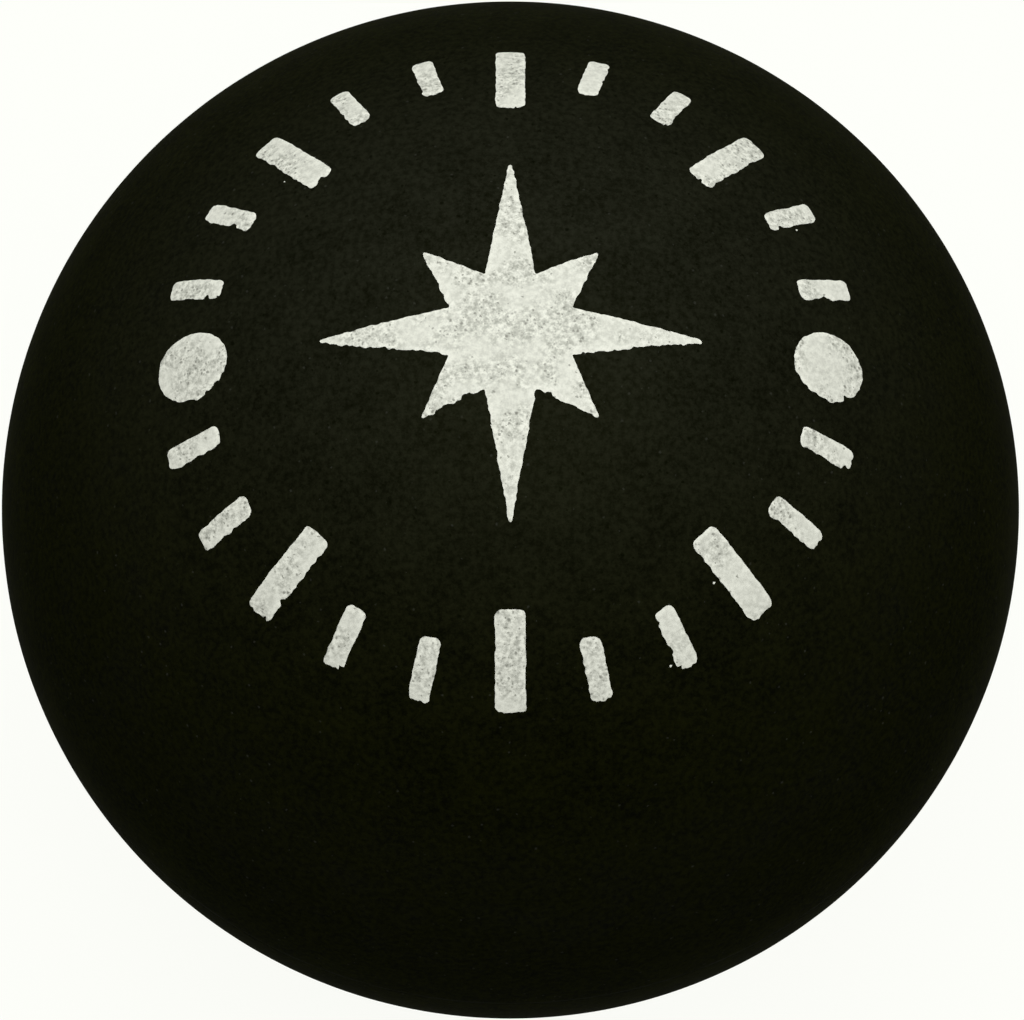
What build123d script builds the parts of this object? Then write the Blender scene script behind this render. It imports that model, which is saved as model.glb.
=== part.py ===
"""Squash ball: two moulded rubber half shells, cemented rim to rim, with a stamped ink medallion.

Millimetres, +Z up, origin at the centre of the ball. The seam lies in the XY plane. The stamp is
printed on the +Z pole, straight down the Z axis, so its flat artwork wraps onto the round wall.
"""

import os
from math import asin, cos, degrees, radians, sin, sqrt

from build123d import *

# Ball and wall
ball_diameter = 40.0
shell_wall = 5.0

# Cemented seam
cement_thickness = 0.2
rim_bevel = 0.8
bead_crown = 0.4

# Ink film
ink_film = 0.05

# Compass star in the middle of the stamp, with long and short points in turn
star_points = 8
long_point_radius = 7.2
short_point_radius = 4.6
star_valley_radius = 2.4

# Graduated ring around the star, with a speed dot in place of a tick on +X and on -X
ring_positions = 24
ring_outer_radius = 13.0
major_tick_length = 3.2
minor_tick_length = 2.0
major_tick_width = 1.1
minor_tick_width = 0.8
tick_corner = 0.2
speed_dot_diameter = 2.6

# Worked out from the sizes above
ball_radius = ball_diameter / 2
chamber_radius = ball_radius - shell_wall
rim_height = cement_thickness / 2
bevel_top = rim_height + rim_bevel
rim_outer_radius = sqrt(ball_radius**2 - rim_height**2)
chamber_edge_radius = sqrt(chamber_radius**2 - bevel_top**2)
rim_inner_radius = chamber_edge_radius + rim_bevel
rim_angle = degrees(asin(rim_height / ball_radius))
bevel_angle = degrees(asin(bevel_top / chamber_radius))
print_radius = ball_radius + ink_film
ring_step = 360 / ring_positions
major_every = ring_positions // star_points
dot_every = ring_positions // 2

# Upper half shell: a hollow hemisphere with a flat rim, bevelled on its inner edge
with BuildPart() as upper_half_shell:
    with BuildSketch(Plane.XZ):
        with BuildLine():
            CenterArc((0, 0), ball_radius, rim_angle, 90 - rim_angle)
            Line((0, ball_radius), (0, chamber_radius))
            CenterArc((0, 0), chamber_radius, bevel_angle, 90 - bevel_angle)
            Polyline(
                (chamber_edge_radius, bevel_top),
                (rim_inner_radius, rim_height),
                (rim_outer_radius, rim_height),
            )
        make_face()
    revolve(axis=Axis.Z)
upper_half_shell.part.label = "upper_half_shell"

# Lower half shell: the same moulding, turned over
with BuildPart() as lower_half_shell:
    mirror(upper_half_shell.part, about=Plane.XY)
lower_half_shell.part.label = "lower_half_shell"

# Seam cement: a thin layer between the rims, buffed flush outside, with a squeezed-out bead inside
with BuildPart() as seam_cement:
    with BuildSketch(Plane.XZ):
        with BuildLine():
            CenterArc((0, 0), ball_radius, -rim_angle, 2 * rim_angle)
            Polyline(
                (rim_outer_radius, rim_height),
                (rim_inner_radius, rim_height),
                (chamber_edge_radius, bevel_top),
            )
            ThreePointArc(
                (chamber_edge_radius, bevel_top),
                (chamber_edge_radius - bead_crown, 0),
                (chamber_edge_radius, -bevel_top),
            )
            Polyline(
                (chamber_edge_radius, -bevel_top),
                (rim_inner_radius, -rim_height),
                (rim_outer_radius, -rim_height),
            )
        make_face()
    revolve(axis=Axis.Z)
seam_cement.part.label = "seam_cement"

# Stamped star: a film of ink on the wall of the upper half shell
with BuildPart() as stamp_star:
    with BuildSketch():
        with BuildLine():
            star_outline = []
            for corner in range(2 * star_points):
                tip_radius = short_point_radius if corner % 4 else long_point_radius
                corner_radius = star_valley_radius if corner % 2 else tip_radius
                corner_angle = radians(corner * 180 / star_points)
                star_outline.append((corner_radius * cos(corner_angle), corner_radius * sin(corner_angle)))
            Polyline(*star_outline, close=True)
        make_face()
    extrude(amount=print_radius)
    Sphere(print_radius, mode=Mode.INTERSECT)
    Sphere(ball_radius, mode=Mode.SUBTRACT)
stamp_star.part.label = "stamp_star"

# Stamped ticks: the graduated ring, with a long tick opposite each point of the star
with BuildPart() as stamp_ticks:
    with BuildSketch():
        for position in range(ring_positions):
            if position % dot_every:
                is_minor = position % major_every
                tick_length = minor_tick_length if is_minor else major_tick_length
                tick_width = minor_tick_width if is_minor else major_tick_width
                with PolarLocations(ring_outer_radius - tick_length / 2, 1, position * ring_step):
                    RectangleRounded(tick_length, tick_width, tick_corner)
    extrude(amount=print_radius)
    Sphere(print_radius, mode=Mode.INTERSECT)
    Sphere(ball_radius, mode=Mode.SUBTRACT)
stamp_ticks.part.label = "stamp_ticks"

# Stamped speed dots: the pair of round spots that mark how slow the ball is
with BuildPart() as stamp_speed_dots:
    with BuildSketch():
        with PolarLocations(ring_outer_radius - speed_dot_diameter / 2, 2):
            Circle(speed_dot_diameter / 2)
    extrude(amount=print_radius)
    Sphere(print_radius, mode=Mode.INTERSECT)
    Sphere(ball_radius, mode=Mode.SUBTRACT)
stamp_speed_dots.part.label = "stamp_speed_dots"

os.makedirs("parts", exist_ok=True)
for piece in (upper_half_shell, lower_half_shell, seam_cement, stamp_star, stamp_ticks, stamp_speed_dots):
    export_step(piece.part, f"parts/{piece.part.label}.step")
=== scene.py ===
"""Looks of the squash ball: two buffed rubber half shells, their cemented seam and the stamped ink.

Metres, +Z up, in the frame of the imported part: the origin is the centre of the ball, the seam lies in the
XY plane, and the stamp is on the +Z pole.
"""

import logging
import math
from dataclasses import dataclass
from enum import Enum
from typing import ClassVar, Mapping, Optional, Sequence, Union

import bpy
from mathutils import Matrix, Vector

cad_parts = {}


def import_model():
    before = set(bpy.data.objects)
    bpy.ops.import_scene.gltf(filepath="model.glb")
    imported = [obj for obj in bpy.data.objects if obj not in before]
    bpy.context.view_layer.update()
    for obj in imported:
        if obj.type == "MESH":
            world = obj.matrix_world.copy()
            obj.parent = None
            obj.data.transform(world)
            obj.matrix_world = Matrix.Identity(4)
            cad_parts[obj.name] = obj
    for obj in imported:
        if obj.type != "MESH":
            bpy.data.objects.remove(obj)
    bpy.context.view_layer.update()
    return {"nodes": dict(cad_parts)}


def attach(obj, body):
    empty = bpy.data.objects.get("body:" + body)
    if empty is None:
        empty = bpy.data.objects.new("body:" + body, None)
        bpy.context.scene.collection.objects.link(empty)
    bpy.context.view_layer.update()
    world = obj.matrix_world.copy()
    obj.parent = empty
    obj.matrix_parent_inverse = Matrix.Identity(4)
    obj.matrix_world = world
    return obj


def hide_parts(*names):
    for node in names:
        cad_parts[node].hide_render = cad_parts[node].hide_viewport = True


LOG = logging.getLogger("squash_ball")

MM = 0.001
BODY = "root"
EDGE_GAP = "edge_gap"
WELD = 0.001 * MM
FINE_WELD = 0.0001 * MM
CREASE = math.radians(35)
CORNER_STEPS = 5
NOISE_MEAN = 0.5
SEED_STEP = (17.3, 5.1, 9.7)
DRAWS_PER_SEED = 10.0
ROW_PITCH = math.sqrt(3) / 2
WHITE = (1.0, 1.0, 1.0, 1.0)

Socket = bpy.types.NodeSocket
Sockets = Sequence[Socket]
Tree = bpy.types.NodeTree
Piece = bpy.types.Object
Material = bpy.types.Material
Feed = Union[Socket, bpy.types.ID, float, int, bool, str, Sequence[float], None]
Feeds = Mapping[Union[str, int], Feed]
Names = Sequence[str]
Colour = tuple[float, float, float, float]
Triple = tuple[float, float, float]


class TreeKind(Enum):
    """The two kinds of node group that the scene builds."""

    GEOMETRY = "GeometryNodeTree"
    SHADER = "ShaderNodeTree"


class PortKind(Enum):
    """What a named socket of a node group carries."""

    NUMBER = "NodeSocketFloat"
    COUNT = "NodeSocketInt"
    PLACE = "NodeSocketVector"
    SHAPE = "NodeSocketGeometry"
    FINISH = "NodeSocketMaterial"


class Half(Enum):
    """The two half shells, by the node that each one stands for."""

    UPPER = "upper_half_shell"
    LOWER = "lower_half_shell"


Ports = Mapping[str, PortKind]


def numbers(*names: str) -> Ports:
    """Ports for plain numbers."""
    return {name: PortKind.NUMBER for name in names}


def labelled(holder: object, names: Names) -> dict[str, Feed]:
    """Values under the names of their ports: rim_height goes to Rim Height."""
    return {name.replace("_", " ").title(): getattr(holder, name) for name in names}


def by_id(sockets: Sockets, identifier: str) -> Socket:
    """The socket of that identifier, for nodes whose sockets share names."""
    return next(socket for socket in sockets if socket.identifier == identifier)


def emptied(owner: Union[Material, bpy.types.World]) -> Tree:
    """The node tree of a material or a world, cleared.

    Args:
        owner: what the tree belongs to.

    Returns:
        The empty tree.
    """
    owner.use_nodes = True
    owner.node_tree.nodes.clear()
    return owner.node_tree


def placed(name: str, data: bpy.types.ID) -> Piece:
    """Adds an object to the scene, at the origin.

    Args:
        name: the object's name.
        data: its mesh, lamp or camera.

    Returns:
        The object.
    """
    piece = bpy.data.objects.new(name, data)
    bpy.context.scene.collection.objects.link(piece)
    return piece


class TreeBuilder:
    """Adds nodes to a shader or geometry tree, so that the tree reads as a chain of steps."""

    def __init__(self, tree: Tree) -> None:
        """Keeps the tree that the nodes go into."""
        self.tree = tree

    def feed(self, socket: Socket, value: Feed) -> None:
        """Links a socket to another one, or sets its own value.

        Args:
            socket: the input to feed.
            value: an output socket to link, a plain value to set, or None to leave the default.
        """
        if isinstance(value, Socket):
            self.tree.links.new(value, socket)
        elif value is not None:
            socket.default_value = value

    def node(self, kind: str, feeds: Optional[Feeds] = None, **settings: object) -> bpy.types.Node:
        """Adds one node.

        Args:
            kind: the node's type.
            feeds: what goes into its inputs, by name or by number.
            **settings: the node's own properties.

        Returns:
            The new node.
        """
        made = self.tree.nodes.new(kind)
        for name, setting in settings.items():
            setattr(made, name, setting)
        for key, value in (feeds or {}).items():
            self.feed(made.inputs[key], value)
        return made

    def out(self, kind: str, feeds: Optional[Feeds] = None, **settings: object) -> Socket:
        """Adds one node and gives its first output."""
        return self.node(kind, feeds, **settings).outputs[0]

    def math(self, operation: str, *values: Feed, clamp: bool = False) -> Socket:
        """One operation of the Math node, kept between 0 and 1 if clamp is set."""
        return self.out("ShaderNodeMath", dict(enumerate(values)), operation=operation, use_clamp=clamp)

    def plus(self, first: Feed, second: Feed) -> Socket:
        """The sum of two numbers."""
        return self.math("ADD", first, second)

    def minus(self, first: Feed, second: Feed) -> Socket:
        """The difference of two numbers."""
        return self.math("SUBTRACT", first, second)

    def times(self, first: Feed, second: Feed) -> Socket:
        """The product of two numbers."""
        return self.math("MULTIPLY", first, second)

    def vector(self, operation: str, *values: Feed) -> Socket:
        """One operation of the Vector Math node that gives a vector."""
        return self.out("ShaderNodeVectorMath", dict(enumerate(values)), operation=operation)

    def length(self, value: Feed) -> Socket:
        """The length of a vector."""
        return self.node("ShaderNodeVectorMath", {0: value}, operation="LENGTH").outputs["Value"]

    def scaled(self, value: Feed, factor: Feed) -> Socket:
        """A vector times a number."""
        return self.out("ShaderNodeVectorMath", {"Vector": value, "Scale": factor}, operation="SCALE")

    def split(self, value: Feed) -> Sockets:
        """The X, Y and Z of a vector."""
        return self.node("ShaderNodeSeparateXYZ", {"Vector": value}).outputs

    def joined(self, x: Feed, y: Feed, z: Feed) -> Socket:
        """A vector from its X, Y and Z."""
        return self.out("ShaderNodeCombineXYZ", {"X": x, "Y": y, "Z": z})

    def ramp(self, value: Feed, start: Feed, end: Feed, low: Feed = 0.0, high: Feed = 1.0) -> Socket:
        """A smooth step from low to high while value goes from start to end."""
        feeds = {"Value": value, "From Min": start, "From Max": end, "To Min": low, "To Max": high}
        return self.out("ShaderNodeMapRange", feeds, interpolation_type="SMOOTHSTEP")

    def seeded(self, place: Feed, size: Feed, seed: Feed) -> Socket:
        """A place in units of a pattern's own size, moved on by a seed."""
        spot = self.scaled(place, self.math("DIVIDE", 1.0, size))
        return self.vector("ADD", spot, self.scaled(SEED_STEP, seed))

    def noise(self, place: Feed, size: Feed, seed: Feed, detail: float) -> Socket:
        """Soft noise from 0 to 1, with blobs of that size in metres and finer layers by the detail."""
        feeds = {"Vector": self.seeded(place, size, seed), "Scale": 1.0, "Detail": detail}
        return self.out("ShaderNodeTexNoise", feeds)

    def blended(self, share: Feed, first: Feed, second: Feed) -> Socket:
        """A colour between two others.

        Args:
            share: 0 for the first colour, 1 for the second.
            first: the first colour.
            second: the second colour.

        Returns:
            The mixed colour's socket.
        """
        made = self.node("ShaderNodeMix", data_type="RGBA")
        for name, value in (("Factor_Float", share), ("A_Color", first), ("B_Color", second)):
            self.feed(by_id(made.inputs, name), value)
        return by_id(made.outputs, "Result_Color")


class GroupBuilder(TreeBuilder):
    """A node group with named inputs and outputs."""

    def __init__(self, name: str, kind: TreeKind, ports: Ports, results: Ports) -> None:
        """Makes the group and its sockets.

        Args:
            name: the group's name.
            kind: geometry or shader.
            ports: its inputs.
            results: its outputs.
        """
        super().__init__(bpy.data.node_groups.new(name, kind.value))
        for side, wanted in (("INPUT", ports), ("OUTPUT", results)):
            for label, carries in wanted.items():
                self.tree.interface.new_socket(name=label, in_out=side, socket_type=carries.value)
        self.given = self.node("NodeGroupInput").outputs
        self.result = self.node("NodeGroupOutput").inputs

    def close(self, results: Mapping[str, Socket]) -> Tree:
        """Links the group's outputs.

        Args:
            results: what each named output gives.

        Returns:
            The finished group.
        """
        for name, socket in results.items():
            self.feed(self.result[name], socket)
        return self.tree


class ShapeBuilder(GroupBuilder):
    """A geometry tree whose steps work on meshes and curves."""

    def __init__(self, name: str, values: Mapping[str, Feed]) -> None:
        """Makes a tree that gives one shape, with a named input for each value.

        Args:
            name: the tree's name.
            values: numbers, whole numbers and finishes, by the names of their inputs.
        """
        kinds = {float: PortKind.NUMBER, int: PortKind.COUNT, Material: PortKind.FINISH}
        shape = {"Geometry": PortKind.SHAPE}
        ports = {label: kinds[type(value)] for label, value in values.items()}
        super().__init__(name, TreeKind.GEOMETRY, {**shape, **ports}, shape)

    def place(self) -> Socket:
        """Where each point is."""
        return self.out("GeometryNodeInputPosition")

    def level(self) -> Socket:
        """The height of each point."""
        return self.split(self.place())["Z"]

    def index(self) -> Socket:
        """The number of each point."""
        return self.out("GeometryNodeInputIndex")

    def sideways(self) -> Socket:
        """The level direction from the Z axis to each point, of length 1."""
        x, y = self.split(self.place())[:2]
        return self.vector("NORMALIZE", self.joined(x, y, 0.0))

    def outward(self, tangent: Feed) -> Socket:
        """The way out of a closed flat outline that runs counter-clockwise."""
        along = self.split(tangent)
        return self.joined(along["Y"], self.times(along["X"], -1.0), 0.0)

    def chance(self, low: Feed, high: Feed, draw: int) -> Socket:
        """A random number for each point, from the tree's own seed.

        Args:
            low: the least value.
            high: the largest value.
            draw: tells apart the draws of one tree.

        Returns:
            The number's socket.
        """
        made = self.node("FunctionNodeRandomValue", data_type="FLOAT")
        seed = self.math("MULTIPLY_ADD", self.given["Seed"], DRAWS_PER_SEED, draw)
        for name, value in (("Min_001", low), ("Max_001", high), ("Seed", seed)):
            self.feed(by_id(made.inputs, name), value)
        return by_id(made.outputs, "Value_001")

    def moved(self, shape: Feed, to: Feed, chosen: Feed = None) -> Socket:
        """Puts the points of a shape, or the chosen ones, in new places."""
        feeds = {"Geometry": shape, "Position": to, "Selection": chosen}
        return self.out("GeometryNodeSetPosition", feeds)

    def shifted(self, shape: Feed, by: Feed) -> Socket:
        """Moves the points of a shape on, each by its own vector."""
        return self.moved(shape, self.vector("ADD", self.place(), by))

    def slid(self, shape: Feed, distance: Feed) -> Socket:
        """Moves a whole shape along X."""
        feeds = {"Geometry": shape, "Translation": self.joined(distance, 0.0, 0.0)}
        return self.out("GeometryNodeTransform", feeds)

    def without(self, shape: Feed, chosen: Feed, domain: str) -> Socket:
        """Deletes the chosen points or faces of a shape."""
        feeds = {"Geometry": shape, "Selection": chosen}
        return self.out("GeometryNodeDeleteGeometry", feeds, domain=domain)

    def together(self, *shapes: Socket) -> Socket:
        """Joins shapes into one.

        Args:
            *shapes: the shapes to join.

        Returns:
            The joined shape's socket.
        """
        made = self.node("GeometryNodeJoinGeometry")
        for shape in shapes:
            self.feed(made.inputs["Geometry"], shape)
        return made.outputs["Geometry"]

    def welded(self, shape: Feed, distance: float = WELD) -> Socket:
        """Merges points that lie in the same place."""
        return self.out("GeometryNodeMergeByDistance", {"Geometry": shape, "Distance": distance})

    def flipped(self, mesh: Feed) -> Socket:
        """Turns the faces of a mesh round."""
        return self.out("GeometryNodeFlipFaces", {"Mesh": mesh})

    def rounded(self, curve: Feed, radius: Feed) -> Socket:
        """Rounds the corners of an outline."""
        feeds = {"Curve": curve, "Count": CORNER_STEPS, "Radius": radius}
        return self.out("GeometryNodeFilletCurve", feeds, mode="POLY")

    def circle(self, radius: Feed, steps: Feed) -> Socket:
        """A circle in the XY plane."""
        return self.out("GeometryNodeCurvePrimitiveCircle", {"Radius": radius, "Resolution": steps})

    def realized(self, shape: Feed) -> Socket:
        """Turns instances into plain geometry."""
        return self.out("GeometryNodeRealizeInstances", {"Geometry": shape})

    def ringed(self, shape: Feed, places: Feed, chosen: Feed = None) -> Socket:
        """Copies a shape round the Z axis.

        Args:
            shape: the shape at angle 0.
            places: how many even places the ring has.
            chosen: which places get a copy; all of them by default.

        Returns:
            The copies' socket.
        """
        turn = self.times(self.index(), self.math("DIVIDE", math.tau, places))
        feeds = {
            "Points": self.out("GeometryNodePoints", {"Count": places}),
            "Selection": chosen,
            "Instance": shape,
            "Rotation": self.joined(0.0, 0.0, turn),
        }
        return self.out("GeometryNodeInstanceOnPoints", feeds)

    def smoothed(self, mesh: Feed) -> Socket:
        """Shades a mesh smooth, apart from its creases.

        Args:
            mesh: the mesh to shade.

        Returns:
            The shaded mesh's socket.
        """
        soft = self.out("GeometryNodeSetShadeSmooth", {"Geometry": mesh, "Shade Smooth": True})
        angle = self.node("GeometryNodeInputMeshEdgeAngle").outputs["Unsigned Angle"]
        sharp = self.math("GREATER_THAN", angle, CREASE)
        feeds = {"Geometry": soft, "Selection": sharp, "Shade Smooth": False}
        return self.out("GeometryNodeSetShadeSmooth", feeds, domain="EDGE")

    def dressed(self, shape: Feed) -> Tree:
        """Ends the tree: realizes the shape and gives it the finish."""
        feeds = {"Geometry": self.realized(shape), "Material": self.given["Finish"]}
        return self.close({"Geometry": self.out("GeometryNodeSetMaterial", feeds)})


@dataclass(frozen=True)
class GrainEffect:
    """The buffed grain that rubber, cement and ink share: coarse and fine noise, and cloudy patches."""

    coarse_detail: float = 3.0
    fine_size: float = 0.35
    fine_share: float = 0.30
    fine_seed: float = 3.1
    fine_detail: float = 1.0
    cloud_seed: float = 7.7
    cloud_detail: float = 4.0
    darkest: float = 0.3
    palest: float = 0.7

    def group(self) -> Tree:
        """Builds the effect.

        Returns:
            A shader group that gives the grain's height, its shade and the patches, all from 0 to 1.
        """
        ports = {"Place": PortKind.PLACE, **numbers("Grain Size", "Cloud Size", "Seed")}
        group = GroupBuilder("Buffed grain", TreeKind.SHADER, ports, numbers("Height", "Shade", "Cloud"))
        place, size, cloud_size, seed = (group.given[name] for name in ports)
        coarse = group.noise(place, size, seed, self.coarse_detail)
        fine_size = group.times(size, self.fine_size)
        fine = group.noise(place, fine_size, group.plus(seed, self.fine_seed), self.fine_detail)
        height = group.plus(group.times(coarse, 1 - self.fine_share), group.times(fine, self.fine_share))
        cloud = group.noise(place, cloud_size, group.plus(seed, self.cloud_seed), self.cloud_detail)
        shade, patches = (group.ramp(value, self.darkest, self.palest) for value in (height, cloud))
        return group.close({"Height": height, "Shade": shade, "Cloud": patches})


@dataclass(frozen=True)
class SpeckEffect:
    """Scattered specks of uneven outline, for dust and pits on rubber and for pinholes in ink."""

    wobble_detail: float = 1.0
    smallness: float = 1.5
    core: float = 0.3

    def group(self) -> Tree:
        """Builds the effect.

        Returns:
            A shader group that gives a mask, 1 inside a speck.
        """
        ports = {"Place": PortKind.PLACE, **numbers("Spacing", "Largest", "Share", "Seed")}
        group = GroupBuilder("Scattered specks", TreeKind.SHADER, ports, numbers("Mask"))
        place, spacing, largest, share, seed = (group.given[name] for name in ports)
        feeds = {"Vector": group.seeded(place, largest, seed), "Scale": 1.0, "Detail": self.wobble_detail}
        wobble = group.node("ShaderNodeTexNoise", feeds).outputs["Color"]
        sway = group.scaled(group.vector("SUBTRACT", wobble, (NOISE_MEAN,) * 3), largest)
        spot = group.seeded(group.vector("ADD", place, sway), spacing, seed)
        cells = group.node("ShaderNodeTexVoronoi", {"Vector": spot, "Scale": 1.0, "Randomness": 1.0}).outputs
        luck, size = group.split(cells["Color"])[:2]
        distance = group.times(cells["Distance"], spacing)
        reach = group.times(largest, group.math("POWER", size, self.smallness))
        disc = group.ramp(distance, group.times(reach, self.core), reach, 1.0, 0.0)
        return group.close({"Mask": group.times(disc, group.math("LESS_THAN", luck, share))})


@dataclass(frozen=True)
class SharedEffects:
    """The shader groups that more than one finish places."""

    grain: Tree
    specks: Tree


class SkinBuilder(TreeBuilder):
    """The tree of a material with one Principled shader, which places the shared groups."""

    def __init__(self, name: str, effects: SharedEffects) -> None:
        """Makes the material and its shader.

        Args:
            name: the material's name.
            effects: the shared shader groups.
        """
        self.material = bpy.data.materials.new(name)
        super().__init__(emptied(self.material))
        self.effects = effects
        self.shader = self.node("ShaderNodeBsdfPrincipled")
        self.node("ShaderNodeOutputMaterial", {"Surface": self.shader.outputs["BSDF"]})
        self.place = self.node("ShaderNodeTexCoord").outputs["Object"]

    def effect(self, group: Tree, feeds: Mapping[str, Feed]) -> Sockets:
        """Places a shared group on the skin and gives its named outputs."""
        return self.node("ShaderNodeGroup", {"Place": self.place, **feeds}, node_tree=group).outputs


@dataclass(frozen=True)
class Specks:
    """How one kind of speck is scattered over a surface."""

    spacing: float
    largest: float
    share: float
    strength: float
    seed: float

    def mask(self, skin: SkinBuilder, share: Feed = None) -> Socket:
        """Where the specks are.

        Args:
            skin: the material under way.
            share: how many of the specks show, where that changes over the surface.

        Returns:
            The specks' mask, as strong as they are.
        """
        feeds = labelled(self, ("spacing", "largest", "share", "seed"))
        if share is not None:
            feeds["Share"] = share
        return skin.times(skin.effect(skin.effects.specks, feeds)["Mask"], self.strength)


@dataclass(frozen=True)
class Finish:
    """A matt finish over the shared grain. Each kind gives its own colours."""

    grain_size: float
    grain_depth: float
    grain_seed: float
    cloud_size: float
    roughness: float
    specular: float
    tint: Colour = WHITE
    name: ClassVar[str]

    def coloured(self, skin: SkinBuilder, grain: Sockets) -> Socket:
        """The colour, from the grain's height, shade and patches."""
        raise NotImplementedError

    def roughened(self, skin: SkinBuilder, grain: Sockets) -> Feed:
        """How rough the surface is: the same all over, where the finish doesn't say more."""
        return self.roughness

    def made(self, effects: SharedEffects) -> Material:
        """Builds the material.

        Args:
            effects: the shared shader groups.

        Returns:
            The material.
        """
        skin = SkinBuilder(self.name, effects)
        sizes = labelled(self, ("grain_size", "cloud_size"))
        grain = skin.effect(effects.grain, {**sizes, "Seed": self.grain_seed})
        relief = {"Height": grain["Height"], "Distance": self.grain_depth, "Strength": 1.0}
        feeds = {
            "Base Color": self.coloured(skin, grain),
            "Roughness": self.roughened(skin, grain),
            "Specular IOR Level": self.specular,
            "Specular Tint": self.tint,
            "Normal": skin.out("ShaderNodeBump", relief),
        }
        for name, value in feeds.items():
            skin.feed(skin.shader.inputs[name], value)
        return skin.material


@dataclass(frozen=True)
class RubberFinish(Finish):
    """Black rubber, buffed matt: fine grain, cloudy patches, a painted sheen on each crown, dust, pits and a
    buffed seam.
    """

    deep: Colour = (0.0004, 0.0005, 0.0001, 1.0)
    worn: Colour = (0.0057, 0.0064, 0.0008, 1.0)
    # Painted sheen: paler rubber colours for the crown patch, which stand in for the softbox's broad
    # highlight.
    painted_sheen_deep: Colour = (0.0039, 0.0043, 0.0018, 1.0)
    painted_sheen_worn: Colour = (0.0147, 0.0158, 0.0098, 1.0)
    dust: Colour = (0.050, 0.052, 0.042, 1.0)
    pit: Colour = (0.0014, 0.0018, 0.0003, 1.0)
    tint: Colour = (0.90, 1.0, 0.35, 1.0)
    grain_size: float = 0.22 * MM
    grain_depth: float = 0.020 * MM
    grain_share: float = 0.78
    grain_seed: float = 1.0
    cloud_size: float = 1.9 * MM
    cloud_share: float = 0.25
    # Where the painted sheen sits on the upper crown, mirrored onto the lower one, and how far it reaches.
    painted_sheen_middle: Triple = (0.4 * MM, 2.9 * MM, 19.8 * MM)
    painted_sheen_stretch: Triple = (1.3, 1.0, 1.0)
    painted_sheen_reach: float = 20.7 * MM
    band_inner: float = 0.5 * MM
    band_outer: float = 1.7 * MM
    streak_size: float = 1.4 * MM
    streak_squeeze: float = 14.0
    streak_share: float = 0.5
    streak_seed: float = 6.0
    streak_detail: float = 3.0
    satin: float = 0.44
    roughness: float = 1.0
    satin_facing: float = 0.12
    dull_facing: float = 0.65
    facing_blend: float = 0.5
    patchiness: float = 0.12
    specular: float = 0.012
    pits: Specks = Specks(spacing=0.30 * MM, largest=0.11 * MM, share=0.7, strength=0.8, seed=2.0)
    dusting: Specks = Specks(spacing=0.34 * MM, largest=0.08 * MM, share=0.5, strength=0.32, seed=5.0)
    name: ClassVar[str] = "buffed_rubber"

    def painted_sheen_share(self, skin: SkinBuilder) -> Socket:
        """How much of the painted sheen shows: a paler oval patch on each half's crown, in place of the
        softbox's broad highlight.

        Args:
            skin: the material under way.

        Returns:
            The patch's mask.
        """
        x, y, z = skin.split(skin.place)
        folded = skin.joined(x, y, skin.math("ABSOLUTE", z))
        oval = skin.vector("DIVIDE", skin.vector("SUBTRACT", folded, self.painted_sheen_middle), self.painted_sheen_stretch)
        return skin.ramp(skin.length(oval), 0.0, self.painted_sheen_reach, 1.0, 0.0)

    def streaked(self, skin: SkinBuilder) -> Socket:
        """The marks of the grinding belt along the seam, paler and darker there and 0 elsewhere.

        Args:
            skin: the material under way.

        Returns:
            The marks' socket.
        """
        x, y, z = skin.split(skin.place)
        band = skin.ramp(skin.math("ABSOLUTE", z), self.band_inner, self.band_outer, 1.0, 0.0)
        squeezed = skin.joined(x, y, skin.times(z, self.streak_squeeze))
        streaks = skin.noise(squeezed, self.streak_size, self.streak_seed, self.streak_detail)
        return skin.times(skin.times(skin.minus(streaks, NOISE_MEAN), band), self.streak_share)

    def coloured(self, skin: SkinBuilder, grain: Sockets) -> Socket:
        """The grain's tones, paler where the sheen is painted on each crown, with the marks of the belt, pits
        and dust.

        Args:
            skin: the material under way.
            grain: the shared grain's outputs.

        Returns:
            The colour.
        """
        shade = skin.math("MULTIPLY_ADD", grain["Shade"], self.grain_share, self.streaked(skin))
        tone = skin.math("MULTIPLY_ADD", grain["Cloud"], self.cloud_share, shade, clamp=True)
        rubber = skin.blended(tone, self.deep, self.worn)
        # Painted sheen: a paler copy of the rubber on each crown, blended in by the sheen's mask.
        painted_sheen_rubber = skin.blended(tone, self.painted_sheen_deep, self.painted_sheen_worn)
        rubber = skin.blended(self.painted_sheen_share(skin), rubber, painted_sheen_rubber)
        rubber = skin.blended(self.pits.mask(skin), rubber, self.pit)
        return skin.blended(self.dusting.mask(skin), rubber, self.dust)

    def roughened(self, skin: SkinBuilder, grain: Sockets) -> Socket:
        """Satin where the skin is seen straight on and dull at a glancing angle, broken up by the patches.

        Args:
            skin: the material under way.
            grain: the shared grain's outputs.

        Returns:
            The roughness.
        """
        facing = skin.node("ShaderNodeLayerWeight", {"Blend": self.facing_blend}).outputs["Facing"]
        patchy = skin.math("MULTIPLY_ADD", grain["Cloud"], self.patchiness, facing)
        dull_from = self.dull_facing + self.patchiness
        return skin.ramp(patchy, self.satin_facing, dull_from, self.satin, self.roughness)


@dataclass(frozen=True)
class CementFinish(Finish):
    """Cured rubber cement, a little smoother and greyer than the shells."""

    dark: Colour = (0.0022, 0.0026, 0.0007, 1.0)
    pale: Colour = (0.0046, 0.0052, 0.0018, 1.0)
    grain_size: float = 0.18 * MM
    grain_depth: float = 0.010 * MM
    grain_seed: float = 21.0
    cloud_size: float = 1.5 * MM
    roughness: float = 0.70
    specular: float = 0.004
    name: ClassVar[str] = "rubber_cement"

    def coloured(self, skin: SkinBuilder, grain: Sockets) -> Socket:
        """Darker and paler cement, in patches."""
        return skin.blended(grain["Cloud"], self.dark, self.pale)


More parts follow.
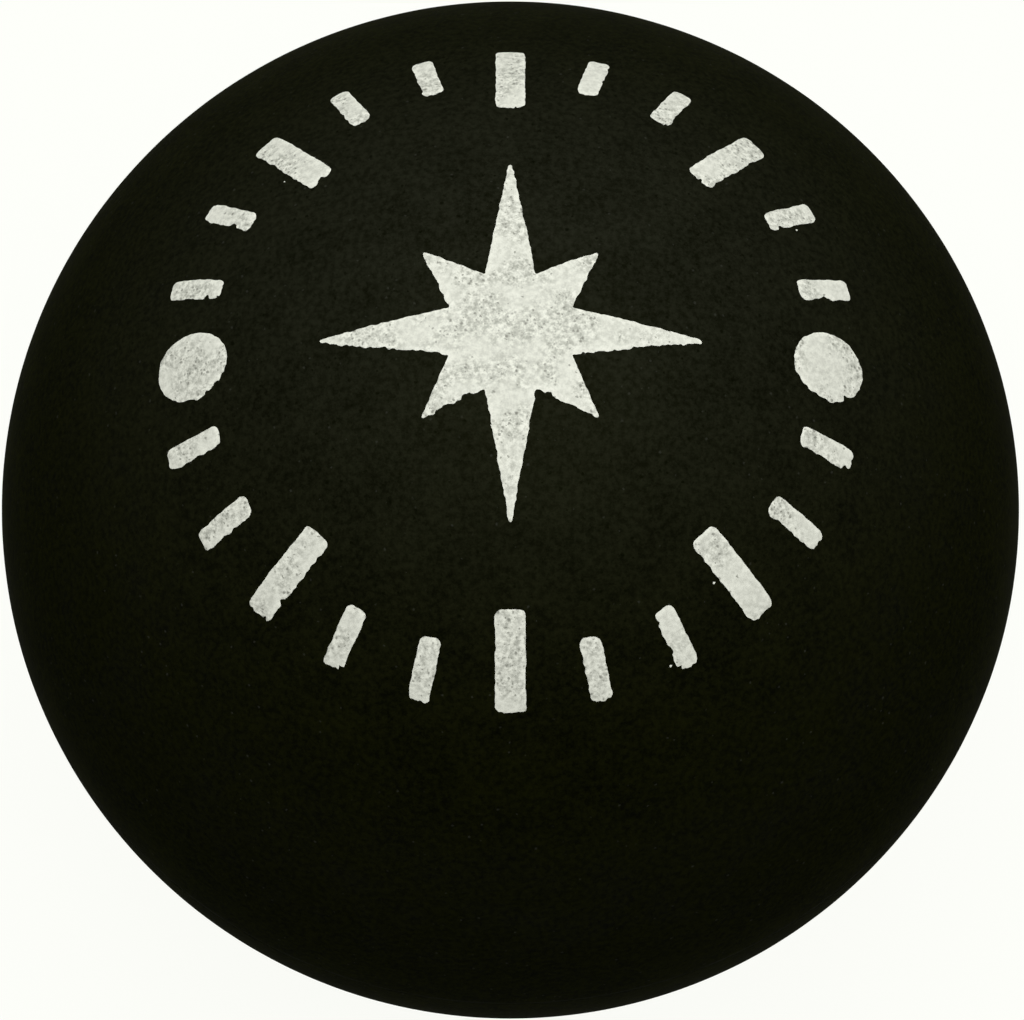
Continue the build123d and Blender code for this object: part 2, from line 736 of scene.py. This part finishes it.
@dataclass(frozen=True)
class InkFinish(Finish):
    """White stamping ink that lies thin in patches, with pinholes where the rubber shows through."""

    full: Colour = (0.865, 0.880, 0.775, 1.0)
    thin: Colour = (0.300, 0.310, 0.262, 1.0)
    bare: Colour = (0.160, 0.163, 0.135, 1.0)
    grain_size: float = 0.19 * MM
    grain_depth: float = 0.006 * MM
    grain_seed: float = 40.0
    cloud_size: float = 1.5 * MM
    bead_width: float = 0.30 * MM
    bead: float = 0.12
    load: float = 0.575
    patches: float = 0.20
    speckle: float = 0.86
    calm: float = 0.4
    calm_from: float = 0.2
    calm_to: float = 0.8
    roughness: float = 0.75
    specular: float = 0.10
    pinholes: Specks = Specks(spacing=0.13 * MM, largest=0.095 * MM, share=0.75, strength=0.70, seed=9.0)
    fewest_pinholes: float = 0.05
    pinholes_from: float = 0.25
    pinholes_to: float = 0.60
    name: ClassVar[str] = "stamping_ink"

    def coloured(self, skin: SkinBuilder, grain: Sockets) -> Socket:
        """Ink that is fuller in a bead along its edge, with more speckle and pinholes where it is thin.

        Args:
            skin: the material under way.
            grain: the shared grain's outputs.

        Returns:
            The colour.
        """
        cloud = grain["Cloud"]
        gap = skin.node("ShaderNodeAttribute", attribute_name=EDGE_GAP).outputs["Fac"]
        bead = skin.ramp(gap, 0.0, self.bead_width, self.load + self.bead, self.load)
        patchy = skin.math("MULTIPLY_ADD", cloud, self.patches, bead)
        swing = skin.ramp(cloud, self.calm_from, self.calm_to, self.speckle, self.speckle * self.calm)
        speckle = skin.minus(grain["Shade"], NOISE_MEAN)
        load = skin.math("MULTIPLY_ADD", speckle, swing, patchy, clamp=True)
        most, fewest = self.pinholes.share, self.fewest_pinholes
        share = skin.ramp(cloud, self.pinholes_from, self.pinholes_to, most, fewest)
        ink = skin.blended(load, self.thin, self.full)
        return skin.blended(self.pinholes.mask(skin, share), ink, self.bare)


@dataclass(frozen=True)
class BallSizes:
    """The sizes that the pieces share, in metres."""

    ball_radius: float = 20.0 * MM
    wall: float = 5.0 * MM
    rim_height: float = 0.1 * MM
    rim_bevel: float = 0.8 * MM
    bead_crown: float = 0.4 * MM

    @property
    def chamber_radius(self) -> float:
        """Radius of the air chamber."""
        return self.ball_radius - self.wall

    @property
    def bevel_top(self) -> float:
        """Height where the bevel meets the chamber."""
        return self.rim_height + self.rim_bevel

    @property
    def chamber_edge_radius(self) -> float:
        """Radius where the bevel meets the chamber."""
        return math.sqrt(self.chamber_radius**2 - self.bevel_top**2)

    @property
    def rim_inner_radius(self) -> float:
        """Radius where the bevel meets the flat of the rim."""
        return self.chamber_edge_radius + self.rim_bevel


@dataclass
class BallPiece:
    """One piece of the dressed ball, which a geometry tree grows in the place of one node."""

    sizes: BallSizes
    finish: Material
    seed: float
    name: ClassVar[str]
    node: ClassVar[str]
    slot: ClassVar[str]
    shared: ClassVar[Names]
    own: ClassVar[Names]

    def base(self) -> bpy.types.Mesh:
        """The mesh that the tree starts from: an empty one, where the piece doesn't give another."""
        return bpy.data.meshes.new(self.name)

    def shaped(self, shape: ShapeBuilder) -> Socket:
        """The steps that make the piece's shape."""
        raise NotImplementedError

    def build(self) -> Piece:
        """Grows the piece as a plain mesh, and ties it to the ball in the place of its node.

        Returns:
            The piece, at the origin, with no modifier left on it.
        """
        values = {**labelled(self.sizes, self.shared), **labelled(self, (*self.own, "seed", "finish"))}
        shape = ShapeBuilder(self.name, values)
        tree = shape.dressed(self.shaped(shape))
        piece = placed(self.name, self.base())
        modifier = piece.modifiers.new(tree.name, "NODES")
        modifier.node_group = tree
        for item in tree.interface.items_tree:
            if item.in_out == "INPUT" and item.name in values:
                modifier[item.identifier] = values[item.name]
        ready = piece.evaluated_get(bpy.context.evaluated_depsgraph_get())
        mesh = bpy.data.meshes.new_from_object(ready)
        piece.modifiers.remove(modifier)
        mesh.name = self.name
        piece.data = mesh
        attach(piece, BODY)
        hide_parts(self.node)
        return piece


@dataclass
class HalfShell(BallPiece):
    """One moulded half of the ball, closed all round, with a very shallow buffed relief outside."""

    half: Half
    divisions: int = 113
    relief_depth: float = 0.012 * MM
    relief_size: float = 1.8 * MM
    relief_detail: float = 3.0
    cut_slack: float = 0.001
    slot: ClassVar[str] = "shell_rubber"
    shared: ClassVar[Names] = (
        "ball_radius", "chamber_radius", "chamber_edge_radius", "rim_height", "rim_inner_radius", "bevel_top"
    )
    own: ClassVar[Names] = ("divisions", "relief_depth", "relief_size", "turn")

    @property
    def node(self) -> str:
        """The node that the half stands for."""
        return self.half.value

    @property
    def name(self) -> str:
        """The piece's name."""
        return f"buffed_{self.node}"

    @property
    def turn(self) -> float:
        """How far the half is turned over."""
        return math.pi if self.half is Half.LOWER else 0.0

    @staticmethod
    def domed(shape: ShapeBuilder, radius: Feed, foot: Feed) -> Socket:
        """Where the points of the unit dome go on a larger sphere.

        Args:
            shape: the shell's tree.
            radius: the sphere's radius.
            foot: the height at which the dome starts.

        Returns:
            The new place of each point.
        """
        low = shape.math("DIVIDE", foot, radius)
        height = shape.math("MULTIPLY_ADD", shape.level(), shape.minus(1.0, low), low)
        out = shape.math("SQRT", shape.minus(1.0, shape.times(height, height)))
        spot = shape.vector("ADD", shape.scaled(shape.sideways(), out), shape.joined(0.0, 0.0, height))
        return shape.scaled(spot, radius)

    def shaped(self, shape: ShapeBuilder) -> Socket:
        """Half a cube that is blown up into a ball, so that its faces are even, with a wall and a worn skin.

        Args:
            shape: the shell's tree.

        Returns:
            The half shell.
        """
        given = shape.given
        sides = {f"Vertices {axis}": given["Divisions"] for axis in "XYZ"}
        cube = shape.out("GeometryNodeMeshCube", {"Size": (2.0, 2.0, 2.0), **sides})
        below = shape.math("LESS_THAN", shape.level(), -self.cut_slack)
        spread = shape.vector("TANGENT", shape.scaled(shape.place(), math.pi / 4))
        dome = shape.moved(shape.without(cube, below, "POINT"), shape.vector("NORMALIZE", spread))
        edge = shape.moved(dome, self.domed(shape, given["Ball Radius"], given["Rim Height"]))
        inner = shape.moved(dome, self.domed(shape, given["Chamber Radius"], given["Bevel Top"]))
        chosen = shape.math("LESS_THAN", shape.out("GeometryNodeInputMeshEdgeNeighbors"), 2)
        for radius, height in (("Rim Inner Radius", "Rim Height"), ("Chamber Edge Radius", "Bevel Top")):
            feeds = {"Mesh": edge, "Selection": chosen, "Offset Scale": 0.0}
            pulled = shape.node("GeometryNodeExtrudeMesh", feeds, mode="EDGES").outputs
            up = shape.joined(0.0, 0.0, given[height])
            ring = shape.vector("ADD", shape.scaled(shape.sideways(), given[radius]), up)
            chosen = pulled["Top"]
            edge = shape.moved(pulled["Mesh"], ring, chosen)
        closed = shape.welded(shape.together(edge, shape.flipped(inner)))
        grit = shape.noise(shape.place(), given["Relief Size"], given["Seed"], self.relief_detail)
        outside = shape.ramp(shape.length(shape.place()), given["Chamber Radius"], given["Ball Radius"])
        clear = shape.ramp(shape.level(), given["Rim Height"], given["Bevel Top"])
        depth = shape.times(shape.times(outside, clear), given["Relief Depth"])
        inwards = shape.times(shape.times(grit, depth), -1.0)
        worn = shape.shifted(closed, shape.scaled(shape.vector("NORMALIZE", shape.place()), inwards))
        feeds = {"Geometry": shape.smoothed(worn), "Rotation": shape.joined(given["Turn"], 0.0, 0.0)}
        return shape.out("GeometryNodeTransform", feeds)


@dataclass
class SeamCement(BallPiece):
    """The cement ring: a thin layer between the rims, ground a hair below the rubber, with its inner bead."""

    turns: int = 720
    bead_steps: int = 12
    face_steps: int = 4
    groove_depth: float = 0.015 * MM
    groove_size: float = 1.1 * MM
    groove_detail: float = 3.0
    grit_low: float = 0.3
    grit_high: float = 0.7
    least_share: float = 0.15
    name: ClassVar[str] = "ground_seam_cement"
    node: ClassVar[str] = "seam_cement"
    slot: ClassVar[str] = "seam_cement"
    shared: ClassVar[Names] = ("ball_radius", "rim_inner_radius")
    own: ClassVar[Names] = ("turns", "groove_depth", "groove_size")

    def base(self) -> bpy.types.Mesh:
        """The ring's section, as a closed line of points and edges.

        Returns:
            A flat mesh, whose X is the distance from the ball's axis and whose Y is the height.
        """
        sizes = self.sizes
        top = sizes.bevel_top
        crown = sizes.bead_crown
        bow = (top**2 + crown**2) / (2 * crown)
        centre = sizes.chamber_edge_radius - crown + bow
        half_angle = math.asin(top / bow)
        points = []
        for step in range(self.face_steps + 1):
            height = sizes.rim_height * (2 * step / self.face_steps - 1)
            points.append((math.sqrt(sizes.ball_radius**2 - height**2), height))
        points.append((sizes.rim_inner_radius, sizes.rim_height))
        for step in range(self.bead_steps + 1):
            angle = half_angle * (1 - 2 * step / self.bead_steps)
            points.append((centre - bow * math.cos(angle), bow * math.sin(angle)))
        points.append((sizes.rim_inner_radius, -sizes.rim_height))
        mesh = bpy.data.meshes.new("seam_section")
        last = len(points)
        edges = [(i, (i + 1) % last) for i in range(last)]
        mesh.from_pydata([(x, y, 0.0) for x, y in points], edges, [])
        return mesh

    def shaped(self, shape: ShapeBuilder) -> Socket:
        """Sweeps the section round the Z axis and grinds its outer face back.

        Args:
            shape: the ring's tree.

        Returns:
            The ring.
        """
        given = shape.given
        section = shape.slid(given["Geometry"], shape.times(given["Ball Radius"], -1.0))
        feeds = {
            "Curve": shape.circle(given["Ball Radius"], given["Turns"]),
            "Profile Curve": shape.out("GeometryNodeMeshToCurve", {"Mesh": section}),
        }
        ring = shape.out("GeometryNodeCurveToMesh", feeds)
        grit = shape.noise(shape.place(), given["Groove Size"], given["Seed"], self.groove_detail)
        share = shape.ramp(grit, self.grit_low, self.grit_high, self.least_share, 1.0)
        outside = shape.math("GREATER_THAN", shape.length(shape.place()), given["Rim Inner Radius"])
        inwards = shape.times(shape.times(shape.times(share, given["Groove Depth"]), outside), -1.0)
        return shape.smoothed(shape.shifted(ring, shape.scaled(shape.sideways(), inwards)))


@dataclass
class StampFilm(BallPiece):
    """One motif of the stamp: a film of ink with a worn edge and a few stray flecks, pressed on the ball."""

    film: float = 0.030 * MM
    seat: float = 0.015 * MM
    cell: float = 0.06 * MM
    outer_radius: float = 13.0 * MM
    margin: float = 0.3 * MM
    edge_wander: float = 0.07 * MM
    wander_size: float = 0.22 * MM
    tooth_detail: float = 1.0
    wave_size: float = 3.5
    wave_seed: float = 4.0
    wave_detail: float = 2.0
    wear: float = 1.4
    low_wear: float = 1.6
    chip_depth: float = 0.16 * MM
    chip_size: float = 1.6
    chip_seed: float = 8.0
    chip_detail: float = 0.0
    chip_from: float = 0.66
    chip_to: float = 0.76
    fleck_share: float = 0.0025
    fleck_radius: float = 0.06 * MM
    fleck_gap: float = 2.0
    fleck_spread: float = 5.0
    fleck_side: float = -0.3
    least_fleck: float = 0.5
    fleck_steps: int = 12
    ray_rise: float = 1.0 * MM
    edge_cells: float = 2.0
    edge_height: float = 0.3
    slot: ClassVar[str] = "stamp_ink"
    shared: ClassVar[Names] = ("ball_radius",)
    pressed: ClassVar[Names] = (
        "film", "seat", "cell", "outer_radius", "reach", "edge_wander", "wander_size", "chip_depth",
        "fleck_share", "fleck_radius"
    )

    @property
    def reach(self) -> float:
        """How far the motif goes from the pole, with a margin for its worn edge."""
        return self.outer_radius + self.margin

    def outline(self, shape: ShapeBuilder) -> Socket:
        """The motif's flat outlines, in the XY plane."""
        raise NotImplementedError

    def worn(self, shape: ShapeBuilder, line: Socket) -> Socket:
        """Outlines that wander a little, with chips out of their lower sides.

        Args:
            shape: the film's tree.
            line: the smooth outlines.

        Returns:
            The worn outlines.
        """
        given = shape.given
        place, size, seed = shape.place(), given["Wander Size"], given["Seed"]
        across = shape.outward(shape.out("GeometryNodeInputTangent"))
        low = shape.math("MAXIMUM", shape.times(shape.split(across)["Y"], -1.0), 0.0)
        teeth = shape.noise(place, size, seed, self.tooth_detail)
        wave_size, wave_seed = shape.times(size, self.wave_size), shape.plus(seed, self.wave_seed)
        waves = shape.noise(place, wave_size, wave_seed, self.wave_detail)
        wander = shape.minus(shape.plus(teeth, waves), 2 * NOISE_MEAN)
        rough = shape.times(shape.math("MULTIPLY_ADD", low, self.low_wear, self.wear), given["Edge Wander"])
        chip_size, chip_seed = shape.times(size, self.chip_size), shape.plus(seed, self.chip_seed)
        luck = shape.noise(place, chip_size, chip_seed, self.chip_detail)
        chipped = shape.ramp(luck, self.chip_from, self.chip_to)
        chip = shape.times(chipped, shape.times(low, given["Chip Depth"]))
        return shape.shifted(line, shape.scaled(across, shape.minus(shape.times(wander, rough), chip)))

    def flecks(self, shape: ShapeBuilder, line: Socket) -> Socket:
        """Tiny drops of ink just below the outlines.

        Args:
            shape: the film's tree.
            line: the outlines.

        Returns:
            The drops' outlines.
        """
        largest = shape.given["Fleck Radius"]
        dots = shape.node("GeometryNodeCurveToPoints", {"Curve": line}, mode="EVALUATED").outputs
        across = shape.outward(dots["Tangent"])
        away = shape.chance(largest, shape.times(largest, self.fleck_spread), draw=1)
        away = shape.math("MULTIPLY_ADD", largest, self.fleck_gap, away)
        lucky = shape.math("LESS_THAN", shape.chance(0.0, 1.0, draw=2), shape.given["Fleck Share"])
        below = shape.math("LESS_THAN", shape.split(across)["Y"], self.fleck_side)
        size = shape.chance(shape.times(largest, self.least_fleck), largest, draw=3)
        feeds = {
            "Points": shape.shifted(dots["Points"], shape.scaled(across, away)),
            "Selection": shape.times(lucky, below),
            "Instance": shape.circle(1.0, self.fleck_steps),
            "Scale": shape.joined(size, size, size),
        }
        return shape.realized(shape.out("GeometryNodeInstanceOnPoints", feeds))

    def lattice(self, shape: ShapeBuilder) -> Socket:
        """A flat sheet of even triangles, wide enough for the whole motif.

        Args:
            shape: the film's tree.

        Returns:
            The sheet.
        """
        cell = shape.given["Cell"]
        width = shape.times(shape.given["Reach"], 2.0)
        columns = shape.math("ROUND", shape.math("DIVIDE", width, cell))
        rows = shape.math("ROUND", shape.math("DIVIDE", columns, ROW_PITCH))
        feeds = {"Size X": width, "Size Y": width, "Vertices X": columns, "Vertices Y": rows}
        grid = shape.out("GeometryNodeMeshGrid", feeds)
        odd = shape.math("MODULO", shape.math("MODULO", shape.index(), rows), 2.0)
        aside = shape.joined(shape.times(odd, shape.times(cell, 0.5)), 0.0, 0.0)
        feeds = {"Mesh": shape.shifted(grid, aside)}
        return shape.out("GeometryNodeTriangulate", feeds, quad_method="SHORTEST_DIAGONAL")

    def cut(self, shape: ShapeBuilder, line: Socket) -> Socket:
        """The part of the sheet inside the outlines, which keeps how far each point is from the edge.

        Args:
            shape: the film's tree.
            line: the outlines.

        Returns:
            The flat film.
        """
        outline = shape.out("GeometryNodeCurveToMesh", {"Curve": line})
        near = shape.node("GeometryNodeProximity", {0: outline}, target_element="EDGES").outputs
        close = shape.math("LESS_THAN", near["Distance"], shape.times(shape.given["Cell"], 0.5))
        snapped = shape.moved(self.lattice(shape), near["Position"], close)
        feeds = {
            "Target Geometry": shape.out("GeometryNodeFillCurve", {"Curve": line}, mode="TRIANGLES"),
            "Source Position": shape.vector("ADD", shape.place(), (0.0, 0.0, self.ray_rise)),
            "Ray Direction": (0.0, 0.0, -1.0),
            "Ray Length": 2 * self.ray_rise,
        }
        inside = shape.node("GeometryNodeRaycast", feeds).outputs["Is Hit"]
        flat = shape.welded(shape.without(snapped, shape.minus(1.0, inside), "FACE"))
        feeds = {"Geometry": flat, "Name": EDGE_GAP, "Value": near["Distance"]}
        return shape.out("GeometryNodeStoreNamedAttribute", feeds, data_type="FLOAT", domain="POINT")

    @staticmethod
    def wrapped(shape: ShapeBuilder, radius: Feed) -> Socket:
        """Where the flat film's points go on a sphere, straight up the Z axis.

        Args:
            shape: the film's tree.
            radius: the sphere's radius.

        Returns:
            The new place of each point.
        """
        x, y = shape.split(shape.place())[:2]
        out = shape.math("MULTIPLY_ADD", x, x, shape.times(y, y))
        height = shape.math("SQRT", shape.minus(shape.times(radius, radius), out))
        return shape.joined(x, y, height)

    def shaped(self, shape: ShapeBuilder) -> Socket:
        """Presses the motif onto the ball, as a closed film with a rounded edge.

        Args:
            shape: the film's tree.

        Returns:
            The film.
        """
        given = shape.given
        cell, ball = given["Cell"], given["Ball Radius"]
        feeds = {"Curve": shape.realized(self.outline(shape)), "Length": shape.times(cell, 0.5)}
        line = self.worn(shape, shape.out("GeometryNodeResampleCurve", feeds, mode="LENGTH"))
        flat = self.cut(shape, shape.together(line, self.flecks(shape, line)))
        gap = shape.out("GeometryNodeInputNamedAttribute", {"Name": EDGE_GAP}, data_type="FLOAT")
        rounded = shape.ramp(gap, 0.0, shape.times(cell, self.edge_cells), self.edge_height, 1.0)
        feeds = {"Mesh": flat, "Offset Scale": 0.0, "Individual": False}
        pulled = shape.node("GeometryNodeExtrudeMesh", feeds, mode="FACES").outputs
        base = shape.minus(ball, given["Seat"])
        top = shape.math("MULTIPLY_ADD", given["Film"], rounded, ball)
        feeds = {"False": base, "True": top, "Switch": pulled["Top"]}
        radius = shape.out("GeometryNodeSwitch", feeds, input_type="FLOAT")
        skin = shape.moved(pulled["Mesh"], self.wrapped(shape, radius))
        under = shape.flipped(shape.moved(flat, self.wrapped(shape, base)))
        return shape.smoothed(shape.welded(shape.together(skin, under), FINE_WELD))


@dataclass
class StarFilm(StampFilm):
    """The compass star in the middle of the stamp."""

    outer_radius: float = 7.2 * MM
    margin: float = 0.4 * MM
    chip_depth: float = 0.09 * MM
    points: int = 8
    short_radius: float = 4.6 * MM
    valley_radius: float = 2.4 * MM
    tip_round: float = 0.06 * MM
    name: ClassVar[str] = "ink_star"
    node: ClassVar[str] = "stamp_star"
    own: ClassVar[Names] = (*StampFilm.pressed, "points", "short_radius", "valley_radius", "tip_round")

    def outline(self, shape: ShapeBuilder) -> Socket:
        """A star whose points are long and short in turn, with its tips rounded a little.

        Args:
            shape: the film's tree.

        Returns:
            The outline.
        """
        given = shape.given
        long = given["Outer Radius"]
        feeds = {"Points": given["Points"], "Inner Radius": given["Valley Radius"], "Outer Radius": long}
        star = shape.out("GeometryNodeCurveStar", feeds)
        # Tips and valleys take turns, so each fourth point from the third one on is a short tip.
        short = shape.math("COMPARE", shape.math("MODULO", shape.index(), 4.0), 2.0, 0.5)
        ratio = shape.math("DIVIDE", given["Short Radius"], long)
        star = shape.moved(star, shape.scaled(shape.place(), ratio), short)
        return shape.rounded(star, given["Tip Round"])


@dataclass
class TickFilm(StampFilm):
    """The graduated ring round the star."""

    positions: int = 24
    points: int = 8
    dots: int = 2
    major_length: float = 3.2 * MM
    minor_length: float = 2.0 * MM
    major_width: float = 1.1 * MM
    minor_width: float = 0.8 * MM
    corner: float = 0.2 * MM
    name: ClassVar[str] = "ink_ticks"
    node: ClassVar[str] = "stamp_ticks"
    own: ClassVar[Names] = (
        *StampFilm.pressed, "positions", "major_every", "dot_every", "major_length", "minor_length",
        "major_width", "minor_width", "corner"
    )

    @property
    def major_every(self) -> int:
        """How many positions lie between two of the star's points."""
        return self.positions // self.points

    @property
    def dot_every(self) -> int:
        """How many positions lie between two dots."""
        return self.positions // self.dots

    def outline(self, shape: ShapeBuilder) -> Socket:
        """Rounded bars on a ring, long ones opposite the star's points, and none where the dots are.

        Args:
            shape: the film's tree.

        Returns:
            The outlines.
        """
        given = shape.given
        beyond_major = shape.math("MODULO", shape.index(), given["Major Every"])
        beyond_dot = shape.math("MODULO", shape.index(), given["Dot Every"])
        minor = shape.math("GREATER_THAN", beyond_major, 0.5)
        major = shape.times(shape.math("GREATER_THAN", beyond_dot, 0.5), shape.minus(1.0, minor))
        rings = []
        for grade, chosen in (("Major", major), ("Minor", minor)):
            length = given[f"{grade} Length"]
            feeds = {"Width": length, "Height": given[f"{grade} Width"]}
            bar = shape.out("GeometryNodeCurvePrimitiveQuadrilateral", feeds)
            middle = shape.minus(given["Outer Radius"], shape.times(length, 0.5))
            bar = shape.slid(shape.rounded(bar, given["Corner"]), middle)
            rings.append(shape.ringed(bar, given["Positions"], chosen))
        return shape.together(*rings)


@dataclass
class DotFilm(StampFilm):
    """The pair of round speed dots."""

    dots: int = 2
    dot_radius: float = 1.3 * MM
    steps: int = 90
    name: ClassVar[str] = "ink_speed_dots"
    node: ClassVar[str] = "stamp_speed_dots"
    own: ClassVar[Names] = (*StampFilm.pressed, "dots", "dot_radius", "steps")

    def outline(self, shape: ShapeBuilder) -> Socket:
        """Circles spread evenly on the ring.

        Args:
            shape: the film's tree.

        Returns:
            The outlines.
        """
        given = shape.given
        disc = shape.circle(given["Dot Radius"], given["Steps"])
        disc = shape.slid(disc, shape.minus(given["Outer Radius"], given["Dot Radius"]))
        return shape.ringed(disc, given["Dots"])


@dataclass
class Studio:
    """A pale floor, one large softbox overhead, a dim room and the camera."""

    sizes: BallSizes
    floor_width: float = 6.0
    floor_white: Colour = (0.991, 1.0, 0.956, 1.0)
    floor_grey: Colour = (0.80, 0.80, 0.78, 1.0)
    shadow_share: float = 0.045
    shadow_inner: float = 0.06
    shadow_outer: float = 0.40
    room: Colour = (0.09, 0.09, 0.085, 1.0)
    softbox_place: Triple = (0.03, 0.05, 0.60)
    softbox_width: float = 0.55
    softbox_depth: float = 0.45
    softbox_watts: float = 4.05
    elevation: float = 71.0
    lens: float = 200.0
    sensor: float = 36.0
    nearest: float = 0.01
    farthest: float = 50.0
    frame_pixels: int = 1024
    ball_pixels: float = 508.8
    ball_left: float = 1.6

    @staticmethod
    def seen(tree: TreeBuilder) -> Socket:
        """Tells what is seen from what only lights the ball.

        Args:
            tree: the material or world under way.

        Returns:
            1 for what the camera sees, straight or in a reflection, and 0 for light that falls on the ball.
        """
        path = tree.node("ShaderNodeLightPath").outputs
        straight = tree.math("MAXIMUM", path["Is Camera Ray"], path["Is Transmission Ray"])
        return tree.math("MAXIMUM", straight, path["Is Glossy Ray"])

    def light_room(self) -> None:
        """Lights a dim, even room that looks white."""
        world = bpy.data.worlds.new("studio_room")
        bpy.context.scene.world = world
        tree = TreeBuilder(emptied(world))
        dim = tree.out("ShaderNodeBackground", {"Color": self.room, "Strength": 1.0})
        white = tree.out("ShaderNodeBackground", {"Color": self.floor_white, "Strength": 1.0})
        mixed = tree.out("ShaderNodeMixShader", {0: self.seen(tree), 1: dim, 2: white})
        tree.node("ShaderNodeOutputWorld", {"Surface": mixed})

    def floor_finish(self) -> Material:
        """A floor that is plain white from afar, and keeps a soft shadow round the ball.

        Returns:
            The material.
        """
        material = bpy.data.materials.new("pale_floor")
        tree = TreeBuilder(emptied(material))
        seen = self.seen(tree)
        shade = tree.blended(seen, self.floor_grey, self.floor_white)
        matt = tree.out("ShaderNodeBsdfDiffuse", {"Color": shade})
        glow = tree.out("ShaderNodeEmission", {"Color": self.floor_white, "Strength": 1.0})
        away = tree.length(tree.node("ShaderNodeTexCoord").outputs["Object"])
        clear = tree.ramp(away, self.shadow_inner, self.shadow_outer, 1.0 - self.shadow_share, 1.0)
        mixed = tree.out("ShaderNodeMixShader", {0: tree.times(seen, clear), 1: matt, 2: glow})
        tree.node("ShaderNodeOutputMaterial", {"Surface": mixed})
        return material

    def lay_floor(self) -> None:
        """Lays the wide flat floor that the ball stands on."""
        half = self.floor_width / 2
        height = -self.sizes.ball_radius
        corners = [(-half, -half, height), (half, -half, height), (half, half, height), (-half, half, height)]
        mesh = bpy.data.meshes.new("studio_floor")
        mesh.from_pydata(corners, [], [(0, 1, 2, 3)])
        mesh.materials.append(self.floor_finish())
        floor = placed("studio_floor", mesh)

    def hang_softbox(self) -> None:
        """Hangs the large soft lamp overhead."""
        lamp = bpy.data.lights.new("softbox", "AREA")
        lamp.shape = "RECTANGLE"
        lamp.size = self.softbox_width
        lamp.size_y = self.softbox_depth
        lamp.energy = self.softbox_watts
        softbox = placed("softbox", lamp)
        place = Vector(self.softbox_place)
        softbox.location = place
        softbox.rotation_euler = (-place).to_track_quat("-Z", "Y").to_euler()
        softbox.visible_camera = False

    def set_camera(self) -> None:
        """Sets up a long lens that looks down at the stamp and fills the frame with the ball."""
        data = bpy.data.cameras.new("camera")
        data.lens = self.lens
        data.sensor_width = self.sensor
        data.clip_start = self.nearest
        data.clip_end = self.farthest
        data.shift_x = self.ball_left / self.frame_pixels
        slope = self.ball_pixels / self.frame_pixels * self.sensor / self.lens
        distance = self.sizes.ball_radius / math.sin(math.atan(slope))
        tilt = math.radians(self.elevation)
        away = Vector((0.0, -math.cos(tilt), math.sin(tilt)))
        camera = placed("camera", data)
        camera.location = away * distance
        camera.rotation_euler = (-away).to_track_quat("-Z", "Y").to_euler()
        bpy.context.scene.camera = camera

    def build(self) -> None:
        """Sets up the whole studio."""
        bpy.context.scene.view_settings.view_transform = "Standard"
        self.light_room()
        self.lay_floor()
        self.hang_softbox()
        self.set_camera()


def main() -> None:
    """Builds the ball's pieces in order and reports each one, then sets up the studio."""
    logging.basicConfig(level=logging.INFO, format="%(message)s")
    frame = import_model()
    LOG.info("frame: %d nodes", len(frame["nodes"]))
    effects = SharedEffects(GrainEffect().group(), SpeckEffect().group())
    rubber = RubberFinish().made(effects)
    cement = CementFinish().made(effects)
    ink = InkFinish().made(effects)

    sizes = BallSizes()
    pieces = (
        HalfShell(sizes, rubber, seed=1.0, half=Half.UPPER),
        HalfShell(sizes, rubber, seed=2.0, half=Half.LOWER),
        SeamCement(sizes, cement, seed=3.0),
        StarFilm(sizes, ink, seed=11.0),
        TickFilm(sizes, ink, seed=12.0),
        DotFilm(sizes, ink, seed=13.0),
    )
    for piece in pieces:
        made = piece.build()
        LOG.info("%s: %d faces, stands for %s", made.name, len(made.data.polygons), piece.node)
    Studio(sizes).build()
    LOG.info("studio: floor, softbox and camera")


if __name__ == "__main__":
    main()
